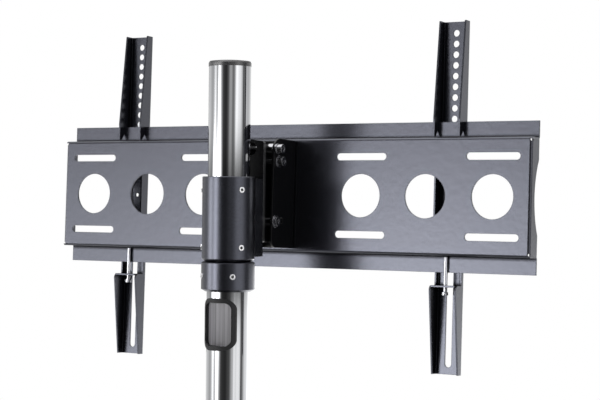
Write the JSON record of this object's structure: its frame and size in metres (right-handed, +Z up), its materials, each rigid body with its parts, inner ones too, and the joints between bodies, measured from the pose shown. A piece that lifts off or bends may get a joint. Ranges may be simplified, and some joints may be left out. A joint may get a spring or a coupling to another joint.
{
  "type": "tv stand with mount",
  "caption": "Pole stand for a television: flat base, chrome tube with cable openings, height collar, swivelling and tilting sleeve, slotted cross panel and sliding hooked brackets.",
  "frame": {"origin": "on the floor, at the pole's axis, which is the middle of the base", "axes": "+Z up along the pole; -Y towards the screen and its viewers; +X along the cross panel, to the right of a viewer who faces the screen"},
  "size_m": [0.8, 0.56, 1.6614],
  "materials": {
    "satin_black": "satin black powder coat",
    "bolt_black": "black oxide",
    "rubber_black": "matte",
    "cap_black": "fine matte",
    "chrome": "polished",
    "zinc": "bright zinc plate"
  },
  "bodies": {
    "stand": {"base_plate": "satin_black", "foot_pads": "rubber_black", "foot_screws": "zinc", "pole_flange": "satin_black", "flange_screws": "bolt_black", "pole": "chrome", "pole_cap": "cap_black", "upper_grommet": "rubber_black", "lower_grommet": "rubber_black"},
    "collar": {"stop_collar": "satin_black", "collar_set_screws": "zinc"},
    "mount": {"mount_sleeve": "satin_black", "sleeve_set_screws": "zinc", "spacer_block": "satin_black", "tilt_plate": "satin_black", "left_tilt_lug": "satin_black", "right_tilt_lug": "satin_black", "pivot_bolt": "zinc", "pivot_nut": "zinc", "pivot_washers": "bolt_black", "pivot_spacers": "zinc", "lock_bolts": "bolt_black", "lock_nuts": "bolt_black", "lock_washers": "bolt_black", "lock_spacers": "bolt_black"},
    "panel": {"cross_panel": "satin_black", "ear_bracket": "satin_black", "bracket_bolts": "bolt_black", "bracket_nuts": "bolt_black"},
    "left_bracket": {"left_tv_bracket": "satin_black"},
    "right_bracket": {"right_tv_bracket": "satin_black"},
    "left_screw": {"left_locking_screw": "zinc"},
    "right_screw": {"right_locking_screw": "zinc"}
  },
  "joints": [
    {"name": "height_slide", "type": "slide", "parent": "stand", "child": "collar", "axis": [0, 0, 1], "range_m": [-0.008, 0.15]},
    {"name": "swivel", "type": "hinge", "parent": "collar", "child": "mount", "pos_m": [0, 0, 1.376], "axis": [0, 0, 1], "continuous": true},
    {"name": "tilt", "type": "hinge", "parent": "mount", "child": "panel", "pos_m": [0, -0.08378, 1.4772], "axis": [1, 0, 0], "range_deg": [-2.2, 9.8]},
    {"name": "left_bracket_slide", "type": "slide", "parent": "panel", "child": "left_bracket", "axis": [-1, 0, 0], "range_m": [-0.215, 0.11]},
    {"name": "right_bracket_slide", "type": "slide", "parent": "panel", "child": "right_bracket", "axis": [1, 0, 0], "range_m": [-0.235, 0.09]},
    {"name": "left_lock_screw_turn", "type": "slide", "parent": "left_bracket", "child": "left_screw", "axis": [0, 0.0384, -0.9993], "range_m": [0, 0.024]},
    {"name": "right_lock_screw_turn", "type": "slide", "parent": "right_bracket", "child": "right_screw", "axis": [0, 0.0384, -0.9993], "range_m": [0, 0.024]}
  ]
}
